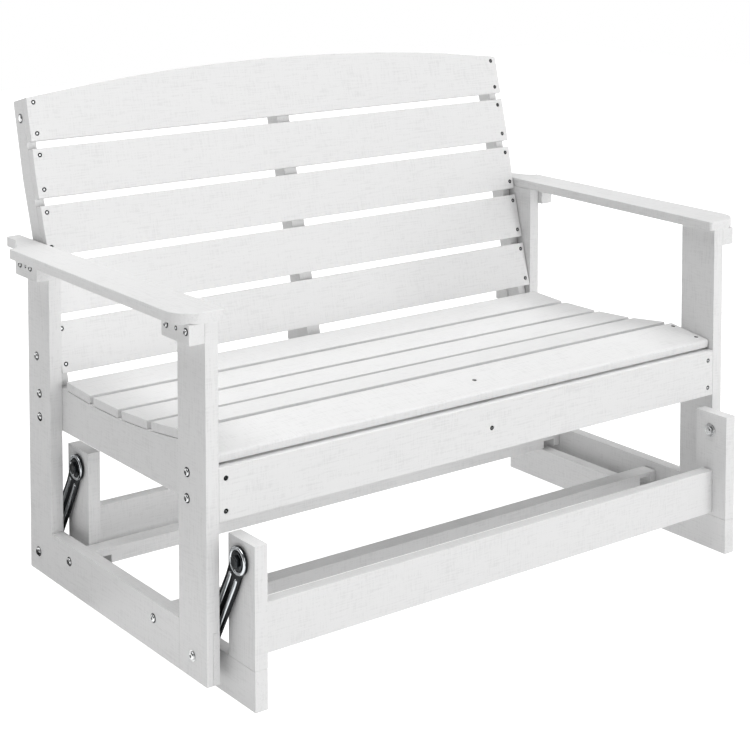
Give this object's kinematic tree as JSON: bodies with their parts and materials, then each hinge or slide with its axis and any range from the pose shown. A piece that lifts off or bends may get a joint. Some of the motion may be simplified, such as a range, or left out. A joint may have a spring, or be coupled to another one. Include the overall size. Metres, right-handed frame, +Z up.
{
  "type": "glider bench",
  "caption": "Slatted two-seat glider bench whose seat, arms and arched back hang from a fixed base on short metal links and swing front to back.",
  "frame": {"origin": "on the ground, under the middle of the whole bench's box in plan", "axes": "+X to the bench's right as seen from in front, along its length; +Y from the front to the back; +Z up"},
  "size_m": [1.336, 0.83, 0.9716],
  "materials": {
    "white_lumber": "white polyethylene lumber with a fine brushed grain",
    "dark_chrome": "dark bright plating on pressed plate",
    "bolt_steel": "stainless steel"
  },
  "bodies": {
    "base": {"left_foot_rail": "white_lumber", "left_front_upright": "white_lumber", "left_front_upper_bolt": "bolt_steel", "left_front_upper_washer": "bolt_steel", "left_rear_upright": "white_lumber", "left_rear_upper_bolt": "bolt_steel", "left_rear_upper_washer": "bolt_steel", "right_foot_rail": "white_lumber", "right_front_upright": "white_lumber", "right_front_upper_bolt": "bolt_steel", "right_front_upper_washer": "bolt_steel", "right_rear_upright": "white_lumber", "right_rear_upper_bolt": "bolt_steel", "right_rear_upper_washer": "bolt_steel", "front_stretcher": "white_lumber", "rear_stretcher": "white_lumber"},
    "seat": {"left_bottom_rail": "white_lumber", "left_seat_rail": "white_lumber", "left_back_upright": "white_lumber", "left_armrest": "white_lumber", "left_front_lower_bolt": "bolt_steel", "left_front_lower_washer": "bolt_steel", "left_front_post": "white_lumber", "left_front_arm_cleat": "white_lumber", "left_rear_lower_bolt": "bolt_steel", "left_rear_lower_washer": "bolt_steel", "left_rear_post": "white_lumber", "left_rear_arm_cleat": "white_lumber", "right_bottom_rail": "white_lumber", "right_seat_rail": "white_lumber", "right_back_upright": "white_lumber", "right_armrest": "white_lumber", "right_front_lower_bolt": "bolt_steel", "right_front_lower_washer": "bolt_steel", "right_front_post": "white_lumber", "right_front_arm_cleat": "white_lumber", "right_rear_lower_bolt": "bolt_steel", "right_rear_lower_washer": "bolt_steel", "right_rear_post": "white_lumber", "right_rear_arm_cleat": "white_lumber", "front_cross_rail": "white_lumber", "rear_cross_rail": "white_lumber", "centre_seat_rail": "white_lumber", "rear_seat_rail": "white_lumber", "seat_apron": "white_lumber", "centre_back_upright": "white_lumber", "seat_slat_1": "white_lumber", "seat_slat_2": "white_lumber", "seat_slat_3": "white_lumber", "seat_slat_4": "white_lumber", "seat_slat_5": "white_lumber", "back_slat_1": "white_lumber", "back_slat_2": "white_lumber", "back_slat_3": "white_lumber", "back_slat_4": "white_lumber", "back_slat_5": "white_lumber"},
    "left_front_link": {"left_front_link": "dark_chrome"},
    "left_rear_link": {"left_rear_link": "dark_chrome"},
    "right_front_link": {"right_front_link": "dark_chrome"},
    "right_rear_link": {"right_rear_link": "dark_chrome"}
  },
  "joints": [
    {"name": "left_front_swing", "type": "hinge", "parent": "base", "child": "left_front_link", "pos_m": [-0.5835, -0.37299, 0.24402], "axis": [1, 0, 0], "range_deg": [-45.5, 0.3]},
    {"name": "seat_hang", "type": "hinge", "parent": "left_front_link", "child": "seat", "pos_m": [-0.5835, -0.29098, 0.0649], "axis": [1, 0, 0], "range_deg": [-0.3, 45.5]},
    {"name": "left_rear_swing", "type": "hinge", "parent": "base", "child": "left_rear_link", "pos_m": [-0.5835, 0.19501, 0.24402], "axis": [1, 0, 0], "range_deg": [-45.5, 0.3]},
    {"name": "right_front_swing", "type": "hinge", "parent": "base", "child": "right_front_link", "pos_m": [0.5835, -0.37299, 0.24402], "axis": [1, 0, 0], "range_deg": [-45.5, 0.3]},
    {"name": "right_rear_swing", "type": "hinge", "parent": "base", "child": "right_rear_link", "pos_m": [0.5835, 0.19501, 0.24402], "axis": [1, 0, 0], "range_deg": [-45.5, 0.3]}
  ],
  "couplings": [
    {"joint": "seat_hang", "follows": "left_front_swing", "ratio": -1},
    {"joint": "left_rear_swing", "follows": "left_front_swing", "ratio": 1},
    {"joint": "right_front_swing", "follows": "left_front_swing", "ratio": 1},
    {"joint": "right_rear_swing", "follows": "left_front_swing", "ratio": 1}
  ]
}
